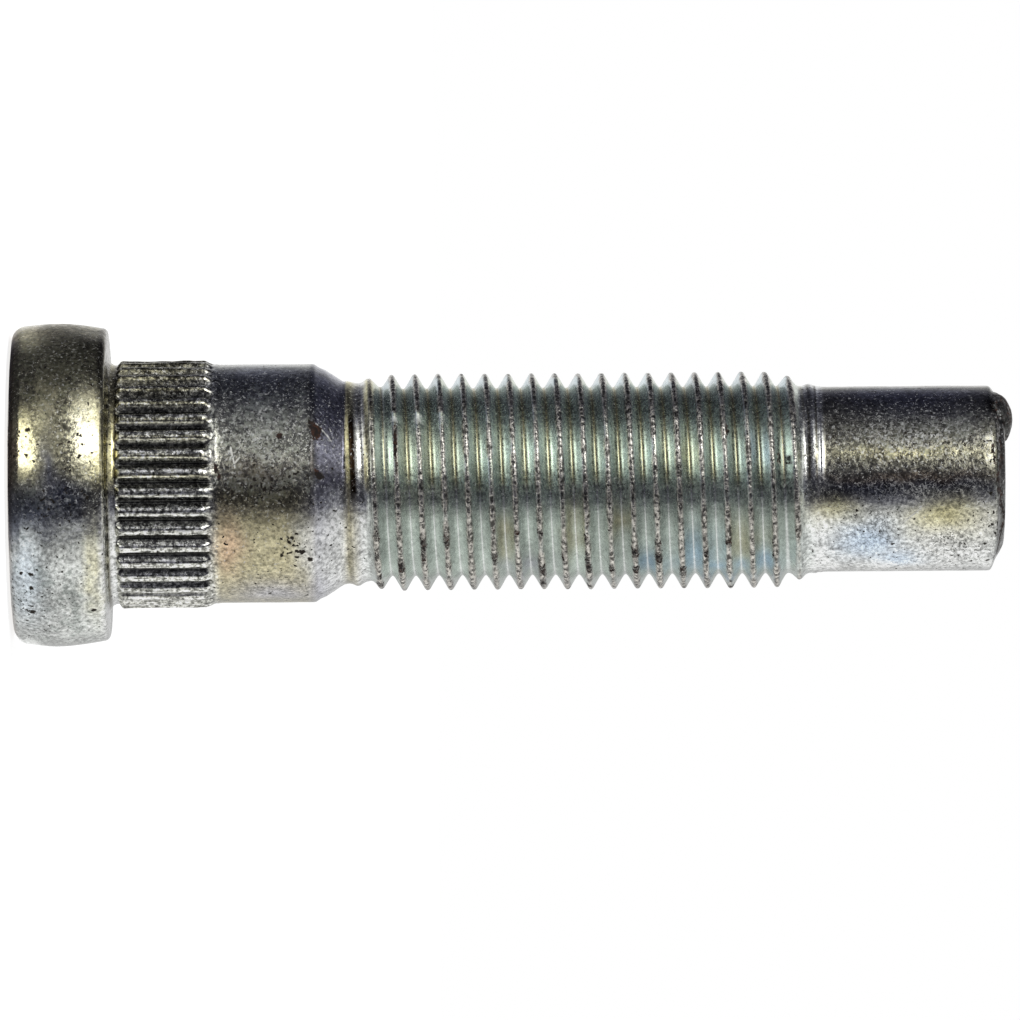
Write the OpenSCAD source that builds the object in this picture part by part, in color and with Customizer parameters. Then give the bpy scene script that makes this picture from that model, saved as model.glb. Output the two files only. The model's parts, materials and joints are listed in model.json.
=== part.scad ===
// Wheel stud, forged and thread-rolled from one bar: a round head, a serrated collar that is pressed
// into the hub, a plain shoulder, a right-hand thread for the wheel nut and a plain point that guides it on.
// Millimetres. It stands on its head: +Z runs along its axis, from the head's end face at Z = 0 to the tip.

/* [Head] */
// Greatest diameter of the head, at the crown of its rim
head_d = 20.78; // [19:0.02:26]
// Height of the head, from its end face to the face that bears on the hub
head_h = 6.3; // [4:0.1:10]
// Diameter of the flat middle of the end face, which the stud stands on
head_flat_d = 9; // [6:0.5:14]
// How far the end face falls away between its flat middle and its corner
head_dome = 0.2; // [0.05:0.05:0.6]
// Radius of the corner between the end face and the rim
head_corner_r = 0.9; // [0.3:0.1:1.5]
// How far the rim's ends lie inside its crown, on the radius
rim_crown = 0.38; // [0.1:0.02:0.8]
// Chamfer of the edge between the rim and the bearing face
head_edge = 0.12; // [0.05:0.01:0.4]
// Radius of the fillet between the bearing face and the collar
fillet_r = 0.6; // [0.3:0.1:1]

/* [Collar] */
// Diameter of the plain shoulder, which is also the blank that the serrations are rolled in
shoulder_d = 15.33; // [14.6:0.01:16]
// Length of the plain shoulder
shoulder_l = 6.58; // [2:0.05:15]
// Length of the serrated part
serration_l = 6.3; // [3:0.1:12]
// Number of teeth round the serrated part
tooth_count = 39; // [24:1:48]
// Height of a tooth's crest above the shoulder, on the radius
tooth_h = 0.285; // [0.1:0.005:0.4]
// Depth of a groove below the shoulder, on the radius
groove_depth = 0.16; // [0.05:0.01:0.4]
// Width of a groove at the crests of its teeth
groove_w = 0.72; // [0.4:0.01:0.8]
// Length over which a tooth rises on the head's side
tooth_run_in = 0.3; // [0.1:0.05:1]
// Length over which a tooth falls on the shoulder's side
tooth_run_out = 0.7; // [0.1:0.05:1.2]

/* [Thread] */
// Length of the cone between the shoulder and the neck
cone_l = 1.87; // [1:0.05:4]
// Diameter of the neck before the thread
neck_d = 13; // [12.6:0.05:13.6]
// Length of the neck
neck_l = 0.9; // [0.3:0.05:3]
// Diameter over the thread's crests
thread_d = 13.93; // [13.7:0.01:14.2]
// Pitch of the thread, one start, right-hand
pitch = 1.5; // [1.4:0.05:2]
// Depth of the thread, on the radius
thread_depth = 0.955; // [0.5:0.005:1]
// Width of the flat on a crest
crest_flat = 0.24; // [0.1:0.01:0.24]
// Length from the neck to the end of the thread
thread_l = 29; // [12:0.05:40]
// Length over which the thread rises to its full depth, after the neck
thread_run_in = 2.67; // [1:0.01:4]
// Length over which the thread fades out before the point
thread_run_out = 2.4; // [1:0.05:4]

/* [Point] */
// Diameter of the plain point
point_d = 11.91; // [11:0.01:12]
// Length of the plain point
point_l = 11.55; // [4:0.05:20]
// Radius of the point's edge
point_edge_r = 0.45; // [0.2:0.05:1]

/* [Sheared tip] */
// Diameter of the sheared face
tip_d = 9.9; // [8:0.1:10.2]
// Height of the sheared face above the point's end
tip_h = 0.6; // [0.2:0.05:1.5]
// Distance of the sheared face's centre from the axis, towards -X
tip_offset = 0.4; // [0:0.05:0.5]
// Radius of the ball-shaped lobe on the sheared face
lobe_r = 2; // [1:0.1:2.1]
// Height of the lobe above the sheared face
lobe_h = 0.74; // [0.2:0.02:1.5]
// Distance of the lobe's centre from the axis, towards -X
lobe_offset = 3.75; // [2:0.05:3.8]

/* [Detail] */
// Steps of the thread in one turn
turn_steps = 36; // [24:2:40]
// Steps in each rounded corner of the turned outline
corner_steps = 5; // [3:1:10]
// Steps in the crowned rim of the head
rim_steps = 8; // [4:2:16]

/* [Hidden] */

ZINC = [0.66, 0.66, 0.6];
// Half of the angle between the flanks of the thread
FLANK_ANGLE = 30;
// Direction of the thread's crest where the full thread begins, and how far that place is past the neck
CREST_ANGLE = 0;
CREST_START = -0.28;
// Direction of the first groove, square to the lobe
GROOVE_ANGLE = -90.5;
// Depth to which one shape is sunk into the next
SINK = 0.1;
// Part of the full thread depth that is left at the two ends of the ridge, under the turned body's surface
END_HEIGHT = 0.03;

// Places along the axis
collar_z = head_h + fillet_r;
tooth_foot_z = collar_z + tooth_run_in / 4;
serration_end_z = collar_z + serration_l;
shoulder_end_z = serration_end_z + shoulder_l;
neck_z = shoulder_end_z + cone_l;
thread_z = neck_z + neck_l;
point_z = thread_z + thread_l;
point_end_z = point_z + point_l;
tip_z = point_end_z + tip_h;

shoulder_r = shoulder_d / 2;
groove_r = shoulder_r - groove_depth;
tooth_r = shoulder_r + tooth_h;
core_r = thread_d / 2 - thread_depth;
point_r = point_d / 2;

// Points of an arc round [cx, cz], from one angle to another
function arc(cx, cz, r, from, to, steps) =
    [for (i = [0:steps]) let (a = from + (to - from) * i / steps) [cx + r * cos(a), cz + r * sin(a)]];

// Radius of the crowned rim at a height: its sagitta is rim_crown at half of the head's height
function rim_radius(z) = head_d / 2 - rim_crown * pow(2 * z / head_h - 1, 2);

// Outline of the head: the end face, the rounded corner, the crowned rim and the bearing face
function head_outline() =
    let (corner_z = head_dome + head_corner_r,
         rim_low_r = rim_radius(corner_z),
         rim_top_z = head_h - head_edge)
    concat(
        [[0, 0], [head_flat_d / 2, 0]],
        arc(rim_low_r - head_corner_r, corner_z, head_corner_r, -90, 0, corner_steps),
        [for (i = [1:rim_steps])
            let (z = corner_z + (rim_top_z - corner_z) * i / rim_steps) [rim_radius(z), z]],
        [[rim_radius(head_h) - head_edge, head_h]]
    );

// Outline of the collar and the shoulder, with the band of the grooves turned down to their depth
function collar_outline() =
    concat(
        arc(shoulder_r + fillet_r, collar_z, fillet_r, 270, 180, corner_steps),
        [[shoulder_r, collar_z + tooth_run_in / 2],
         [groove_r, collar_z + tooth_run_in],
         [groove_r, serration_end_z - tooth_run_out / 2],
         [shoulder_r, serration_end_z - tooth_run_out / 4],
         [shoulder_r, shoulder_end_z]]
    );

// Outline of the cone, the neck, the thread's core and the plain point
function shank_outline() =
    concat(
        [[neck_d / 2, neck_z], [neck_d / 2, thread_z - SINK], [core_r, thread_z + SINK],
         [core_r, point_z - SINK], [point_r, point_z]],
        arc(point_r - point_edge_r, point_end_z - point_edge_r, point_edge_r, 0, 90, corner_steps),
        [[0, point_end_z]]
    );

module turned_body() {
    rotate_extrude($fn = 120) polygon(concat(head_outline(), collar_outline(), shank_outline()));
}

// A point of the serrations' section, at a radius and an angle
function polar(r, a) = [r * cos(a), r * sin(a)];

// One groove and the tooth after it: a sunk root, two flanks and a crest with eased corners
function tooth_points(a) =
    let (step = 360 / tooth_count,
         ease = 0.3 * tooth_h,
         half_groove = groove_w / 2 / tooth_r * 180 / PI,
         crest = 1.3 * half_groove)
    [polar(groove_r - SINK, a), polar(tooth_r - ease, a + half_groove), polar(tooth_r, a + crest),
     polar(tooth_r, a + step - crest), polar(tooth_r - ease, a + step - half_groove)];

module serrations() {
    foot_r = shoulder_r - SINK;
    low_z = tooth_foot_z - SINK * (collar_z + tooth_run_in - tooth_foot_z) / tooth_h;
    high_z = serration_end_z + SINK * tooth_run_out / tooth_h;
    intersection() {
        translate([0, 0, low_z])
            linear_extrude(high_z - low_z)
                polygon([for (i = [0:tooth_count - 1])
                    each tooth_points(GROOVE_ANGLE + 360 * i / tooth_count)]);
        rotate_extrude($fn = 120)
            polygon([
                [0, low_z], [foot_r, low_z], [tooth_r, collar_z + tooth_run_in],
                [tooth_r, serration_end_z - tooth_run_out], [foot_r, high_z], [0, high_z]
            ]);
    }
}

// Part of the full thread depth that the ridge has, at a distance from its start and from its end
function ridge_height(from_start, to_end) =
    min(1, pow(max(from_start, 0) / thread_run_in, 0.6), max(to_end, 0) / thread_run_out);

// Section of the ridge: base, crest, crest, base, going up
function ridge_section(i, start_z, end_z) =
    let (z = start_z + pitch * i / turn_steps,
         a = CREST_ANGLE + 360 * (z - thread_z - CREST_START) / pitch,
         base_r = core_r - SINK,
         crest_r = base_r + (thread_depth + SINK) * max(ridge_height(z - start_z, end_z - z), END_HEIGHT),
         crest_half = crest_flat / 2,
         base_half = crest_half + (thread_depth + SINK) * tan(FLANK_ANGLE))
    [for (p = [[base_r, -base_half], [crest_r, -crest_half], [crest_r, crest_half], [base_r, base_half]])
        [p[0] * cos(a), p[0] * sin(a), z + p[1]]];

// The ridge of the thread, swept along its helix; both of its ends lie inside the turned body
module thread_ridge() {
    start_z = thread_z - pitch;
    end_z = point_z + SINK;
    steps = floor((end_z - start_z) / pitch * turn_steps);
    points = [for (i = [0:steps], p = ridge_section(i, start_z, end_z)) p];
    sides = [for (i = [0:steps - 1], k = [0:3])
        let (a = 4 * i + k, b = 4 * i + (k + 1) % 4)
        each [[a, b, b + 4], [a, b + 4, a + 4]]];
    last = 4 * steps;
    caps = [[2, 1, 0], [3, 2, 0], [last, last + 1, last + 2], [last, last + 2, last + 3]];
    polyhedron(points, concat(sides, caps), convexity = 40);
}

// The end that the cropping shear left: an offset face with a lobe at one side
module sheared_tip() {
    translate([-tip_offset, 0, point_end_z - SINK])
        cylinder(d1 = tip_d + (tip_h + SINK) / 2, d2 = tip_d, h = tip_h + SINK, $fn = 120);
    translate([-lobe_offset, 0, tip_z + lobe_h - lobe_r]) sphere(lobe_r, $fn = 64);
}

module wheel_stud() {
    color(ZINC) union() {
        turned_body();
        serrations();
        thread_ridge();
        sheared_tip();
    }
}

wheel_stud();
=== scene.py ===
"""The look of a wheel stud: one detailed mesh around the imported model, its zinc finish and a pale studio.

The stud stands on its head, with +Z along its axis. It is pictured lying, so the camera is turned by a
quarter: the picture's right is +Z and its top is -X. Sizes are in millimetres until a mesh is made.
"""
import json
import math
from itertools import product

import bpy
import numpy as np
from mathutils import Matrix, Vector


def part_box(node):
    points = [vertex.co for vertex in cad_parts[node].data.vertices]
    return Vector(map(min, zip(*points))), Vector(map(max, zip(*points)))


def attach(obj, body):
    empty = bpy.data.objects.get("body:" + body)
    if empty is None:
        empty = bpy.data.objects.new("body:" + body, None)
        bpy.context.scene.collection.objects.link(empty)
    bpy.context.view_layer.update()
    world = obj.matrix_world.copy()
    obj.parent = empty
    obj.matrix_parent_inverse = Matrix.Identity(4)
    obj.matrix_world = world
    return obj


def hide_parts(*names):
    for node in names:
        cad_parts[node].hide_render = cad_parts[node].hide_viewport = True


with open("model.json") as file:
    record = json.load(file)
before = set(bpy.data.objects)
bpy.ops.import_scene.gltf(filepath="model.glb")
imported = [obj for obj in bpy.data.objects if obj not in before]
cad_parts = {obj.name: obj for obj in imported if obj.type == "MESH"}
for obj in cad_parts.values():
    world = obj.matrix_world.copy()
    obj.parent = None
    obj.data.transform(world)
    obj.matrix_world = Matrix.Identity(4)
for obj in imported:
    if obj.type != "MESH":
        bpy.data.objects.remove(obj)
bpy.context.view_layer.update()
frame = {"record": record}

MM = 0.001
NODE = "wheel_stud"

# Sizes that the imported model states
MOUNTS = {mount["name"]: mount for mount in frame["record"]["mounts"]}


def stated(mount, size):
    return MOUNTS[mount]["dims"][size]


HEAD_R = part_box(NODE)[1].x / MM
TOP_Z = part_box(NODE)[1].z / MM
HEAD_H = MOUNTS["bearing_face"]["pos_m"][2] / MM
TOOTH_R = stated("serrations", "r_mm")
TEETH_L = stated("serrations", "length_mm")
TEETH_Z = MOUNTS["serrations"]["pos_m"][2] / MM - TEETH_L / 2
SHOULDER_R = stated("shoulder", "r_mm")
THREAD_R = stated("thread", "r_mm")

# The head
RIM_CROWN = 0.38
CORNER_R = 0.9
END_FALL = 0.2
END_FLAT_R = 4.5
EDGE_R = 0.36
FILLET_R = TEETH_Z - HEAD_H

# The serrations
TOOTH_COUNT = 39
GROOVE_DEPTH = 0.2
RUN_IN = 0.3
RUN_OUT = 0.7
FIRST_GROOVE = -90.5

# The thread: height of its crest in the direction of +X, pitch, and radius of its root
CREST_Z = 23.775
PITCH = 1.5
ROOT_R = 6.01

# The plain point and its sheared end
POINT_R = 5.955
FACE_Z = 63.82
LOBE = (-3.75, -1.7, 63.15)
LOBE_SIZE = (1.7, 2.4, TOP_Z - 63.15)

# Where the thread's rows begin and end, and where the rings of the rolling past it end
THREAD_LOW_Z = 21.5
THREAD_HIGH_Z = 51.75
RINGS_END_Z = 52.4

# Columns round the head and teeth, and half as many round the rest
TOOTH_COLUMNS = 10
HEAD_COLUMNS = TOOTH_COUNT * TOOTH_COLUMNS
SHANK_COLUMNS = HEAD_COLUMNS // 2

# Direction of the surface that faces the camera, in degrees round the axis
FRONT = 270.0


# Shapes and noise

def arc(centre_r, centre_z, radius, start, end, steps):
    """Points (radius, height) on an arc, from one angle to another in degrees."""
    angles = np.radians(np.linspace(start, end, steps + 1))
    return [(centre_r + radius * math.cos(a), centre_z + radius * math.sin(a)) for a in angles]


def ramp(value, low, high):
    """0 below low, 1 above high and straight between them."""
    return np.clip((value - low) / (high - low), 0.0, 1.0)


def smooth(value, low, high):
    t = ramp(value, low, high)
    return t * t * (3 - 2 * t)


def hashed(keys, seed):
    """A fixed number from -1 to 1 for each row of whole numbers."""
    mixed = (keys * np.array([73856093, 19349663, 83492791])).sum(axis=-1) + seed * 2654435761
    mixed = (mixed ^ (mixed >> 13)) * 1274126177 & 0xFFFFFFFF
    mixed = (mixed ^ (mixed >> 16)) * 668265263 & 0xFFFFFFFF
    return (mixed & 0xFFFFF) / 0x7FFFF - 1.0


def noise(points, cell, seed):
    """Smooth noise from -1 to 1 at each point, in cells of a given size."""
    place = points / cell
    corner = np.floor(place).astype(np.int64)
    inside = place - corner
    weight = inside * inside * (3 - 2 * inside)
    total = np.zeros(points.shape[:-1])
    for step in product((0, 1), repeat=3):
        share = np.prod(np.where(step, weight, 1 - weight), axis=-1)
        total += share * hashed(corner + np.array(step), seed)
    return total


def on_surface(radius, height, up):
    """The point at a radius and a height, turned from the front by an angle towards the picture's top."""
    angle = math.radians(FRONT - up)
    return np.array([radius * math.cos(angle), radius * math.sin(angle), height])


# Dents and nicks: place (radius, height, degrees up from the front), width and depth
DENTS = [
    (10.3, 1.6, 14.0, 0.9, 0.05),
    (10.3, 4.9, 26.0, 1.1, 0.06),
    (10.3, 3.1, 2.0, 0.8, 0.04),
    (10.3, 4.2, -18.0, 0.7, 0.04),
    (10.3, 2.2, -52.0, 0.6, 0.03),
    (6.95, 24.9, 36.0, 0.35, 0.14),
    (6.95, 26.35, 36.0, 0.45, 0.16),
    (6.95, 27.85, 37.0, 0.35, 0.12),
    (7.66, 15.3, 13.0, 0.5, 0.02),
    (5.95, 61.5, 8.0, 0.6, 0.03),
    (5.95, 63.0, 24.0, 0.25, 0.05),
    (5.95, 63.0, 12.0, 0.25, 0.05),
    (5.95, 62.6, -32.0, 0.3, 0.06),
]


def relief(points):
    """How far the surface stands out at each point: the blank's waves and the dents."""
    on_head = 1 - smooth(points[..., 2], HEAD_H - 0.3, HEAD_H + 0.2)
    waves = 0.016 * noise(points, 2.3, 1) + 0.007 * noise(points, 0.9, 2) + 0.005 * noise(points, 0.45, 3)
    forged = 0.05 * noise(points, 2.4, 4) + 0.018 * noise(points, 1.2, 5)
    height = waves + on_head * forged
    for radius, along, up, width, depth in DENTS:
        distance = np.linalg.norm(points - on_surface(radius, along, up), axis=-1)
        height = height - depth * np.exp(-((distance / width) ** 2))
    return height


# Outlines, as points (radius, height)

def rim_radius(z):
    return HEAD_R - RIM_CROWN * (2 * z / HEAD_H - 1) ** 2


def head_outline():
    """From the end face's middle over the corner and the rim to the fillet at the teeth."""
    corner_z = END_FALL + CORNER_R
    corner_r = rim_radius(corner_z) - CORNER_R
    edge_z = HEAD_H - EDGE_R
    edge_r = rim_radius(edge_z)
    flat = [(r, 0.0) for r in (0.8, 2.0, 3.2, END_FLAT_R)]
    slope_l = corner_r - END_FLAT_R
    slope = [(r, END_FALL * ((r - END_FLAT_R) / slope_l) ** 2) for r in (5.6, 6.7, 7.7, 8.5)]
    rim = [(rim_radius(z), z) for z in np.linspace(corner_z + 0.3, edge_z - 0.2, 10)]
    edge = arc(edge_r - EDGE_R, edge_z, EDGE_R, 0, 90, 6)
    under = [(r, HEAD_H) for r in (9.5, 9.0, 8.5)]
    fillet = arc(SHOULDER_R + FILLET_R, TEETH_Z, FILLET_R, 270, 180, 6)
    return flat + slope + arc(corner_r, corner_z, CORNER_R, -90, 0, 8) + rim + edge + under + fillet


def teeth_heights():
    end = TEETH_Z + TEETH_L
    return np.concatenate([
        TEETH_Z + np.array([0.05, 0.1, 0.16, 0.23, 0.31, 0.4]),
        np.linspace(TEETH_Z + 0.6, end - RUN_OUT - 0.25, 14),
        np.linspace(end - RUN_OUT - 0.1, end + 0.15, 11),
    ])


# The shoulder, the cone and the start of the neck: radii and their heights
SHOULDER_LINE = (
    [SHOULDER_R, SHOULDER_R, 7.64, 7.55, 7.44, 7.28, 6.95, 6.7, 6.54],
    [13.5, 19.42, 19.58, 19.72, 19.88, 20.25, 20.77, 21.15, 21.42],
)
SHOULDER_ROWS = np.concatenate([np.linspace(13.55, 19.3, 16), SHOULDER_LINE[1][1:]])

# Radius of the blank where the thread ends, and of the thread's root and crest, each against the height
RUN_OUT_R = 6.04
ROOT_LINE = (
    [21.4, 21.6, 21.9, 22.3, 23.0, 23.6, 24.4, 51.0, 51.7],
    [6.56, 6.5, 6.46, 6.42, 6.36, 6.2, ROOT_R, ROOT_R, RUN_OUT_R],
)
CREST_LINE = (
    [21.6, 21.9, 22.55, 23.1, 23.9, 24.6, 49.0, 49.4, 49.9, 50.6, 51.2, 51.7],
    [6.54, 6.62, 6.68, 6.74, 6.88, THREAD_R, THREAD_R, 6.93, 6.72, 6.5, 6.25, RUN_OUT_R],
)
# Shape of one ridge: distances from its crest, in pitches, and the share of its height there
RIDGE_LINE = (
    [0.0, 0.045, 0.08, 0.11, 0.34, 0.4, 0.45, 0.5],
    [1.0, 0.985, 0.945, 0.88, 0.26, 0.125, 0.035, 0.0],
)
RIDGE_ROWS = (-0.5, -0.45, -0.4, -0.34, -0.22, -0.11, -0.06, 0.0, 0.06, 0.11, 0.22, 0.34, 0.4, 0.45)
# Distances, in pitches, over which the marks of a crest and of a root fade out, and the depth of a lap
CREST_SPAN = 0.28
ROOT_SPAN = 0.12
LAP_DEPTH = 0.09

# Rings of the sheared end: how far the middle lies towards -X, the radius and the height
TIP_SHIFT = 0.45
TIP_RINGS = [
    (0.0, 5.955, 62.78), (0.0, 5.94, 62.9), (0.0, 5.9, 62.98), (0.02, 5.82, 63.06), (0.04, 5.7, 63.13),
    (0.08, 5.54, 63.2), (0.14, 5.36, 63.3), (0.22, 5.2, 63.42), (0.3, 5.05, 63.56), (0.38, 4.9, 63.69),
    (0.42, 4.75, 63.78),
]
for face_radius in (4.55, 4.35, 4.15, 3.95, 3.7, 3.45, 3.2, 2.9, 2.5, 2.0, 1.4, 0.7):
    TIP_RINGS.append((TIP_SHIFT, face_radius, FACE_Z))


# The mesh

class Skin:
    """The stud's closed surface while it is built: its corners, its faces and what is marked on it."""

    def __init__(self):
        self.corners = []
        self.marks = []
        self.faces = []
        self.count = 0

    def add(self, points, crest=0.0, root=0.0, groove=0.0, knurl=0.0, rise=0.0, side=0.0):
        """Add corners, with their marks, and return their numbers.

        Knurl is 1 on the serrations, rise the share of a tooth's height, and side -1 or 1 on the two sides
        of a crest or tooth.
        """
        points = np.asarray(points, dtype=float).reshape(-1, 3)
        marks = np.zeros((len(points), 6))
        for column, mark in enumerate((crest, root, groove, knurl, rise, side)):
            marks[:, column] = mark
        self.corners.append(points)
        self.marks.append(marks)
        numbers = np.arange(self.count, self.count + len(points))
        self.count += len(points)
        return numbers

    def strip(self, lower, upper):
        """Join two rings of as many corners."""
        for a, b, c, d in zip(lower, np.roll(lower, -1), np.roll(upper, -1), upper):
            self.faces.append((a, b, c, d))

    def cap(self, ring, point, outward_up):
        """Close a ring with a fan to a point."""
        middle = self.add([point])[0]
        for a, b in zip(ring, np.roll(ring, -1)):
            self.faces.append((a, b, middle) if outward_up else (b, a, middle))

    def halve(self, lower, upper):
        """Join a ring to one of half as many corners."""
        count = len(upper)
        for j in range(count):
            a, b, c = lower[2 * j], lower[2 * j + 1], lower[(2 * j + 2) % len(lower)]
            d, e = upper[j], upper[(j + 1) % count]
            self.faces += [(a, b, d), (b, e, d), (b, c, e)]


def turned(angles, radius, height):
    """Points at a radius and a height for each angle, in radians."""
    radius = np.broadcast_to(radius, angles.shape)
    height = np.broadcast_to(height, angles.shape)
    return np.stack([radius * np.cos(angles), radius * np.sin(angles), height], axis=-1)


def column_angles():
    """Angles of the columns: close together at each tooth's edges, and even round the shank."""
    step = 360.0 / TOOTH_COUNT
    pattern = np.array([0.0, 0.11, 0.24, 0.32, 0.4, 0.5, 0.6, 0.68, 0.76, 0.89])
    head = [FIRST_GROOVE + step * (tooth + share) for tooth in range(TOOTH_COUNT) for share in pattern]
    shank = FIRST_GROOVE + 360.0 * np.arange(SHANK_COLUMNS) / SHANK_COLUMNS
    return np.radians(head), np.radians(shank)


def tooth_section():
    """Height of each column of the head over the shoulder; each tooth is a little different."""
    crest = TOOTH_R - SHOULDER_R
    pattern = np.array([-1.0, -0.8, 0.45, 0.86, 0.98, 1.0, 0.98, 0.86, 0.45, -0.8])
    section = []
    for tooth in range(TOOTH_COUNT):
        uneven = hashed(np.array([[tooth, 3, 5]]), 7)[0]
        height = crest * (1 + 0.1 * uneven)
        section += [GROOVE_DEPTH * share if share < 0 else height * share for share in pattern]
    return np.array(section)


def build_head(skin, angles):
    """The head, its underside and the serrations; returns the last ring."""
    outline = np.array(head_outline())
    tangent = np.gradient(outline, axis=0)
    tangent /= np.linalg.norm(tangent, axis=1)[:, None]
    ring = None
    for (radius, height), (along_r, along_z) in zip(outline, tangent):
        base = turned(angles, radius, height)
        stand = relief(base) * smooth(radius, 3.0, 6.0)
        lowered = stand * along_r * smooth(height, 0.02, 0.4)
        points = turned(angles, radius + stand * along_z, np.maximum(height - lowered, 0.0))
        numbers = skin.add(points)
        if ring is None:
            skin.cap(numbers, (0.0, 0.0, 0.0), outward_up=False)
        else:
            skin.strip(ring, numbers)
        ring = numbers
    return build_teeth(skin, angles, ring)


def build_teeth(skin, angles, ring):
    """The serrations, each ending a little earlier or later than its neighbours; returns the last ring."""
    section = tooth_section()
    end = TEETH_Z + TEETH_L
    uneven = hashed(np.arange(TOOTH_COUNT)[:, None] * np.array([1, 2, 3]), 11)
    end_of_tooth = end + 0.1 * np.repeat(uneven, TOOTH_COLUMNS)
    lower_side = np.tile(np.where(np.arange(TOOTH_COLUMNS) > 5, 1.0, -1.0), TOOTH_COUNT)
    crest = TOOTH_R - SHOULDER_R
    for z in teeth_heights():
        rise = smooth(z, TEETH_Z - 0.02, TEETH_Z + RUN_IN)
        fall = smooth(end_of_tooth - z, -0.1, RUN_OUT)
        groove_fall = smooth(end_of_tooth - z, 0.05, RUN_OUT * 0.7)
        lip = 0.04 * smooth(z, end - 0.15, end + 0.05) * (1 - smooth(z, end + 0.05, end + 0.35))
        base = turned(angles, SHOULDER_R, z)
        ragged = 0.035 * noise(base * np.array([1, 1, 0.35]), 0.3, 21) + 0.03 * noise(base, 0.35, 22)
        stand = np.where(section > 0, section * rise * fall, section * np.minimum(rise, groove_fall))
        stand = stand + ragged * rise * fall * (section > 0)
        points = turned(angles, SHOULDER_R + lip + np.minimum(stand, crest * 1.12) + relief(base), z)
        share = np.clip(section / crest, 0, 1) * rise * fall
        groove = (section < 0) * np.minimum(rise, groove_fall) * np.minimum(1.0, -section / GROOVE_DEPTH)
        numbers = skin.add(points, groove=groove, knurl=1.0, rise=share, side=lower_side)
        skin.strip(ring, numbers)
        ring = numbers
    return ring


def build_shoulder(skin, angles, ring):
    """The plain shoulder and the cone; returns the last ring."""
    for number, z in enumerate(SHOULDER_ROWS):
        base = turned(angles, np.interp(z, SHOULDER_LINE[1], SHOULDER_LINE[0]), z)
        stand = relief(base)
        points = turned(angles, np.linalg.norm(base[:, :2], axis=1) + stand, z)
        numbers = skin.add(points)
        if number == 0:
            skin.halve(ring, numbers)
        else:
            skin.strip(ring, numbers)
        ring = numbers
    return ring


def thread_points(angles, heights, share):
    """Points of one helical row, and how much of a crest and of a root each is."""
    root = np.interp(heights, *ROOT_LINE)
    crest = np.interp(heights, *CREST_LINE)
    full = (crest - root) / (THREAD_R - ROOT_R)
    shape = np.interp(abs(share), *RIDGE_LINE) ** (1 + 0.9 * (1 - np.minimum(full, 1)))
    base = turned(angles, crest, heights)
    lap = ramp(noise(base, 0.55, 31) + 0.6 * noise(base, 0.28, 32), -0.1, 0.7)
    ragged = 0.02 * noise(base, 0.7, 33) * shape
    ground = turned(angles, root, heights) if abs(share) > 0.25 else base
    radius = root + (crest - root) * shape + ragged * full + relief(ground)
    if share == 0.0:
        radius = radius - LAP_DEPTH * lap * full
    marks = {
        "crest": max(0.0, 1 - abs(share) / CREST_SPAN) * np.minimum(1.0, full * 1.6),
        "root": max(0.0, 1 - (0.5 - abs(share)) / ROOT_SPAN) * full,
        "side": np.sign(share),
    }
    return turned(angles, radius, heights), marks


def build_thread(skin, angles, ring):
    """The thread in rows that climb its helix, joined to a level ring below and above."""
    count = len(angles)
    per_turn = len(RIDGE_ROWS)
    first = math.floor((THREAD_LOW_Z - CREST_Z) / PITCH) - 2
    last = math.ceil((THREAD_HIGH_Z - CREST_Z) / PITCH) + 1
    numbers = np.full(((last - first) * per_turn, count + 1), -1)
    margin = 0.04
    for row in range(len(numbers)):
        share = RIDGE_ROWS[row % per_turn]
        turn = first + row // per_turn
        heights = CREST_Z + PITCH * (turn + share + angles / (2 * math.pi))
        kept = (heights > THREAD_LOW_Z + margin) & (heights < THREAD_HIGH_Z - margin)
        if kept.any():
            points, marks = thread_points(angles[kept], heights[kept], share)
            numbers[row, :count][kept] = skin.add(points, **marks)
    numbers[:-per_turn, count] = numbers[per_turn:, 0]
    low = skin.add(turned(angles, np.interp(THREAD_LOW_Z, *ROOT_LINE), THREAD_LOW_Z))
    high = skin.add(turned(angles, RUN_OUT_R, THREAD_HIGH_Z))
    skin.strip(ring, low)
    for j in range(count):
        left, right = numbers[:, j], numbers[:, j + 1]
        low_left, high_left = np.flatnonzero(left >= 0)[[0, -1]]
        low_right, high_right = np.flatnonzero(right >= 0)[[0, -1]]
        next_j = (j + 1) % count
        for row in range(low_left, high_right):
            skin.faces.append((left[row], right[row], right[row + 1], left[row + 1]))
        skin.faces.append((low[j], low[next_j], right[low_right], left[low_left]))
        for row in range(low_right, low_left):
            skin.faces.append((left[low_left], right[row], right[row + 1]))
        skin.faces.append((left[high_left], right[high_right], high[next_j], high[j]))
        for row in range(high_right, high_left):
            skin.faces.append((left[row], right[high_right], left[row + 1]))
    return high


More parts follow.
